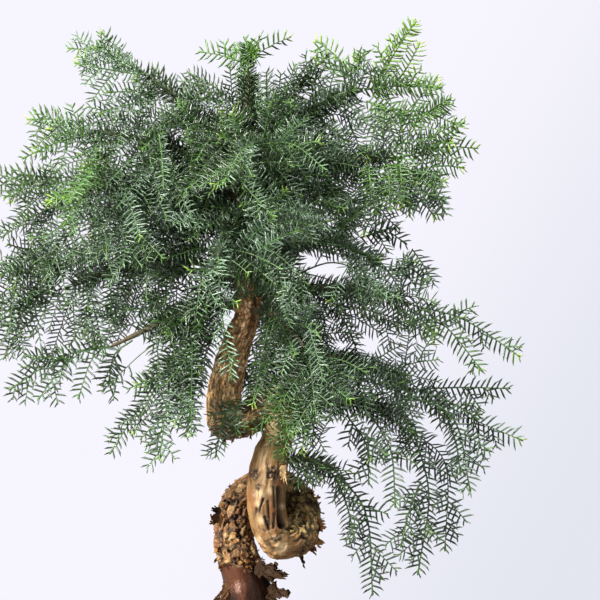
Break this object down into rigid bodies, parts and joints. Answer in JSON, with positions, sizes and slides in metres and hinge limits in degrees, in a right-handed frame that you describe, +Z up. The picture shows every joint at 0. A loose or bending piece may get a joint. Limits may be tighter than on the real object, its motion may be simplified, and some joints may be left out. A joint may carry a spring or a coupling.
{
  "type": "araucaria bonsai tree",
  "caption": "Bonsai conifer in a footed tray: a thick trunk that coils on itself, peeling bark, and layered limbs with spreading and hanging sprays of slim needles.",
  "frame": {"origin": "on the surface the pot stands on, under the middle of the whole tree's bounding box", "axes": "+Z up along the tree's height; the pictured front faces -Y, +X is to the right of that front view"},
  "size_m": [0.5514, 0.3196, 0.7355],
  "materials": {
    "pot": "unglazed dark brown stoneware, fine grain, matte",
    "netting": "dark plastic netting",
    "soil": "loose dark granular potting mix with moss patches",
    "bark": "copper to ochre bark, smooth and glossy in places, peeling in papery flakes in others",
    "needles": "soft satin needles, blue-green where old, on bright green shoots",
    "young_needles": "the same needles with more young yellow-green growth at the tips"
  },
  "bodies": {
    "root": {"pot": "pot", "drain_mesh_left": "netting", "drain_mesh_right": "netting", "soil": "soil", "trunk": "bark", "spray_crown": "young_needles", "spray_upper_left_long": "needles", "spray_upper_left_low": "needles", "spray_upper_left_slope": "young_needles", "spray_left_high": "needles", "spray_left_high_hanging": "needles", "spray_left_high_inner": "young_needles", "spray_left_mid": "needles", "spray_left_mid_front": "needles", "spray_left_mid_low": "young_needles", "spray_left_mid_inner": "needles", "spray_left_low": "needles", "spray_left_low_hanging": "young_needles", "spray_left_low_back": "needles", "spray_left_low_upper": "needles", "spray_left_drop": "young_needles", "spray_left_drop_inner": "needles", "spray_low_left_long": "needles", "spray_low_left_mid": "young_needles", "spray_low_left_inner": "needles", "spray_front_hanging": "needles", "spray_bend_hanging": "young_needles", "spray_stem_hanging": "needles", "spray_front_high": "needles", "spray_front_mid": "young_needles", "spray_front_low": "needles", "spray_upper_right": "needles", "spray_upper_right_top": "young_needles", "spray_upper_right_low": "needles", "spray_right_high": "needles", "spray_right_high_low": "young_needles", "spray_right_high_inner": "needles", "spray_right_mid": "needles", "spray_right_mid_low": "young_needles", "spray_right_mid_top": "needles", "spray_right_long": "needles", "spray_right_low": "young_needles", "spray_right_low_hanging": "needles", "spray_cascade": "needles", "spray_cascade_inner": "young_needles", "spray_low_right": "needles", "spray_low_right_top": "needles", "spray_back_high": "young_needles", "spray_back_mid": "needles", "spray_back_right": "needles", "spray_back_low": "young_needles", "spray_back_left": "needles", "spray_back_upper_left": "needles", "spray_back_upper_right": "young_needles", "spray_inner_left": "needles", "spray_inner_right": "needles", "spray_top_right": "young_needles", "spray_top_left": "needles", "spray_upper_left_inner": "needles", "spray_inner_top": "young_needles"}
  },
  "joints": []
}
